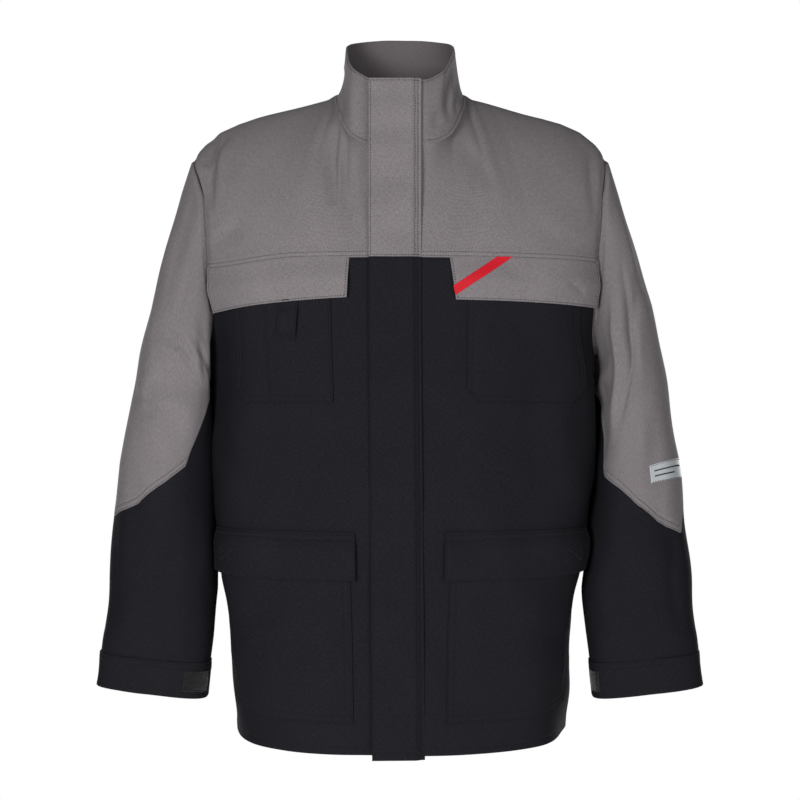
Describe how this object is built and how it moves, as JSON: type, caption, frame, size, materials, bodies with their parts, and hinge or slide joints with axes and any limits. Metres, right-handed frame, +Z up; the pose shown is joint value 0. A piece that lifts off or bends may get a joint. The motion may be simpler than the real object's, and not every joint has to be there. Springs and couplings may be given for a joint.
{
  "type": "welding jacket",
  "caption": "Hip-length welding jacket in two-colour woven twill: stand collar, zip under a storm flap, flapped patch pockets, set-in sleeves with tabbed cuffs.",
  "frame": {"origin": "in the hanger loop, inside the back of the neck, where a hook holds the jacket", "axes": "+X to the wearer's left, +Y to the wearer's back, +Z up; the centre front hangs plumb"},
  "size_m": [0.7034, 0.2561, 0.822],
  "materials": {
    "grey_twill": "matte woven twill, warm mid grey",
    "black_twill": "matte woven twill, blue-black",
    "lining_twill": "matte woven facing, black",
    "ribbon": "plain woven red ribbon",
    "label": "pale silver woven label, blank",
    "touch_fastener": "black hook and loop tape",
    "zip_tape": "black woven tape",
    "zip_metal": "dark antique metal",
    "snap_metal": "plain steel"
  },
  "bodies": {
    "torso": {"collar_outer": "grey_twill", "collar_lining": "grey_twill", "back_yoke": "grey_twill", "back_panel": "black_twill", "front_yoke_left": "grey_twill", "front_yoke_right": "grey_twill", "front_panel_left": "black_twill", "front_panel_right": "black_twill", "front_facing_left": "lining_twill", "front_facing_right": "lining_twill", "hem_facing": "lining_twill", "zip_tape_left": "zip_tape", "zip_tape_right": "zip_tape", "zip_teeth_left": "zip_metal", "zip_teeth_right": "zip_metal", "zip_bottom_stop": "zip_metal", "snap_studs": "snap_metal", "chest_pocket_left": "black_twill", "chest_pocket_right": "black_twill", "pen_loop": "black_twill", "hip_pocket_left": "black_twill", "hip_pocket_right": "black_twill", "neck_label": "label", "hanger_loop": "zip_tape"},
    "zip_slider": {"zip_slider": "zip_metal"},
    "zip_pull": {"zip_pull": "zip_metal"},
    "storm_flap": {"storm_flap_upper": "grey_twill", "storm_flap_lower": "black_twill", "storm_flap_facing": "lining_twill", "snap_sockets": "snap_metal"},
    "chest_flap_left": {"chest_flap_left": "grey_twill", "red_ribbon": "ribbon"},
    "chest_flap_right": {"chest_flap_right": "grey_twill"},
    "hip_flap_left": {"hip_flap_left": "black_twill"},
    "hip_flap_right": {"hip_flap_right": "black_twill"},
    "sleeve_left": {"sleeve_upper_left": "grey_twill", "sleeve_lower_left": "black_twill", "cuff_left": "black_twill", "cuff_loop_patch_left": "touch_fastener", "sleeve_label": "label"},
    "sleeve_right": {"sleeve_upper_right": "grey_twill", "sleeve_lower_right": "black_twill", "cuff_right": "black_twill", "cuff_loop_patch_right": "touch_fastener"},
    "cuff_tab_left": {"cuff_tab_left": "black_twill"},
    "cuff_tab_right": {"cuff_tab_right": "black_twill"}
  },
  "joints": [
    {"name": "zip_slide", "type": "slide", "parent": "torso", "child": "zip_slider", "axis": [0, 0, -1], "range_m": [0, 0.68]},
    {"name": "zip_pull_swing", "type": "hinge", "parent": "zip_slider", "child": "zip_pull", "pos_m": [0, -0.1526, -0.022], "axis": [0, -1, 0], "range_deg": [-25, 25]},
    {"name": "storm_flap_hinge", "type": "hinge", "parent": "torso", "child": "storm_flap", "pos_m": [0.0275, -0.157, -0.376], "axis": [0, 0, 1], "range_deg": [0, 110]},
    {"name": "chest_flap_left_hinge", "type": "hinge", "parent": "torso", "child": "chest_flap_left", "pos_m": [0.1428, -0.1434, -0.203], "axis": [-0.9648, -0.2619, 0.0235], "range_deg": [0, 100]},
    {"name": "hip_flap_left_hinge", "type": "hinge", "parent": "torso", "child": "hip_flap_left", "pos_m": [0.139, -0.1386, -0.499], "axis": [-0.9037, -0.428, -0.0118], "range_deg": [0, 100]},
    {"name": "shoulder_left", "type": "hinge", "parent": "torso", "child": "sleeve_left", "pos_m": [0.239, -0.03, -0.072], "axis": [0, -1, 0], "range_deg": [0, 40]},
    {"name": "cuff_tab_left_hinge", "type": "hinge", "parent": "sleeve_left", "child": "cuff_tab_left", "pos_m": [0.3405, -0.0022, -0.6687], "axis": [0.0926, -0.038, -0.995], "range_deg": [0, 120]},
    {"name": "chest_flap_right_hinge", "type": "hinge", "parent": "torso", "child": "chest_flap_right", "pos_m": [-0.1428, -0.1434, -0.203], "axis": [-0.9648, 0.2619, -0.0235], "range_deg": [0, 100]},
    {"name": "hip_flap_right_hinge", "type": "hinge", "parent": "torso", "child": "hip_flap_right", "pos_m": [-0.139, -0.1386, -0.499], "axis": [-0.9037, 0.428, 0.0118], "range_deg": [0, 100]},
    {"name": "shoulder_right", "type": "hinge", "parent": "torso", "child": "sleeve_right", "pos_m": [-0.239, -0.03, -0.072], "axis": [0, 1, 0], "range_deg": [0, 40]},
    {"name": "cuff_tab_right_hinge", "type": "hinge", "parent": "sleeve_right", "child": "cuff_tab_right", "pos_m": [-0.3405, -0.0022, -0.6687], "axis": [0.0926, 0.038, 0.995], "range_deg": [0, 120]}
  ]
}
